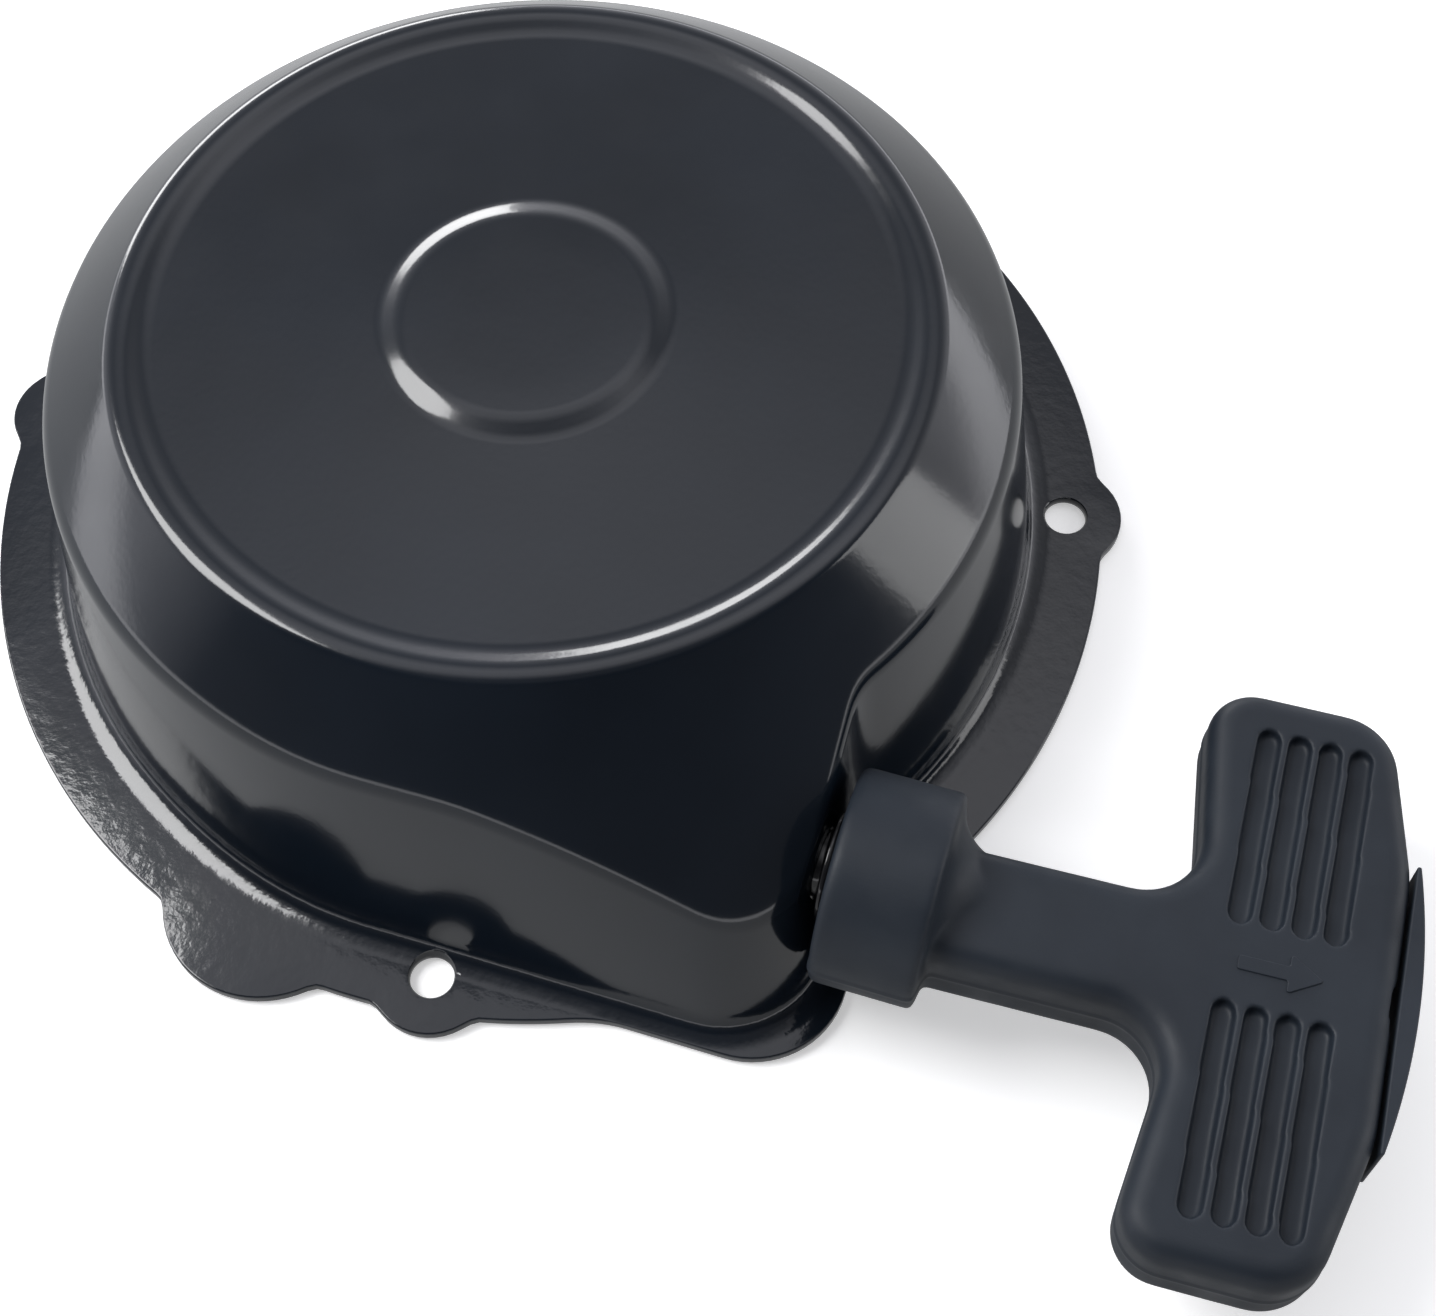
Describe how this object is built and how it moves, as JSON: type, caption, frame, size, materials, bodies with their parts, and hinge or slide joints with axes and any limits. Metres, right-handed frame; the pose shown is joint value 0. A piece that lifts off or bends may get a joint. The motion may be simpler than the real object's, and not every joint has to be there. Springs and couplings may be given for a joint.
{
  "type": "recoil starter",
  "caption": "Pull-cord recoil starter with pressed steel housing, spring-return reel, pawl drive and T-shaped rope handle.",
  "frame": {"origin": "on the reel axis in the plane of the flange's engine side, at the centre screw's end face", "axes": "+Z from the engine to the closed top of the housing, +X the way the rope pulls out"},
  "size_m": [0.251, 0.2029, 0.0549],
  "materials": {
    "paint": "gloss baked enamel on pressed steel",
    "steel": "zinc plated steel",
    "spring_steel": "blued spring steel",
    "reel_nylon": "moulded glass filled nylon",
    "guide_plastic": "polished black plastic",
    "bush_plastic": "natural acetal",
    "grip_rubber": "matte moulded rubber",
    "cap_plastic": "matte moulded plastic",
    "rope_braid": "braided polyester starter rope"
  },
  "bodies": {
    "housing": {"housing_shell": "paint", "rope_guide": "guide_plastic", "centre_post": "steel", "recoil_spring": "spring_steel", "friction_spring": "spring_steel", "thrust_washer": "steel", "centre_screw": "steel"},
    "reel": {"reel": "reel_nylon", "reel_bush": "bush_plastic", "rope_coil": "rope_braid", "spring_keeper": "steel", "keeper_screw_a": "steel", "keeper_screw_b": "steel", "keeper_screw_c": "steel", "pawl_pin_a": "steel", "pawl_pin_b": "steel", "pawl_spring_a": "spring_steel", "pawl_spring_b": "spring_steel"},
    "pawl_a": {"pawl_a": "steel"},
    "pawl_b": {"pawl_b": "steel"},
    "guide": {"pawl_guide": "steel"},
    "handle": {"handle_grip": "grip_rubber", "handle_cap": "cap_plastic", "rope_lead": "rope_braid", "rope_knot": "rope_braid", "knot_washer": "steel"}
  },
  "joints": [
    {"name": "handle_pull", "type": "slide", "parent": "housing", "child": "handle", "axis": [1, 0, 0], "range_m": [0, 0.95], "stiffness_N_per_m": 15, "springref_m": -0.3},
    {"name": "reel_spin", "type": "hinge", "parent": "housing", "child": "reel", "pos_m": [0, 0, 0.022], "axis": [0, 0, 1], "range_deg": [-2, 980]},
    {"name": "guide_turn", "type": "hinge", "parent": "reel", "child": "guide", "pos_m": [0, 0, 0.0105], "axis": [0, 0, 1], "range_deg": [-35, 0]},
    {"name": "pawl_a_swing", "type": "hinge", "parent": "reel", "child": "pawl_a", "pos_m": [0.025, 0, 0.014], "axis": [0, 0, 1], "range_deg": [-30.5, 0.5]},
    {"name": "pawl_b_swing", "type": "hinge", "parent": "reel", "child": "pawl_b", "pos_m": [-0.025, 0, 0.014], "axis": [0, 0, 1], "range_deg": [-30.5, 0.5]}
  ],
  "couplings": [
    {"joint": "reel_spin", "follows": "handle_pull", "rad_per_m": 17.857},
    {"joint": "pawl_a_swing", "follows": "guide_turn", "ratio": 0.85714},
    {"joint": "pawl_b_swing", "follows": "guide_turn", "ratio": 0.85714}
  ]
}
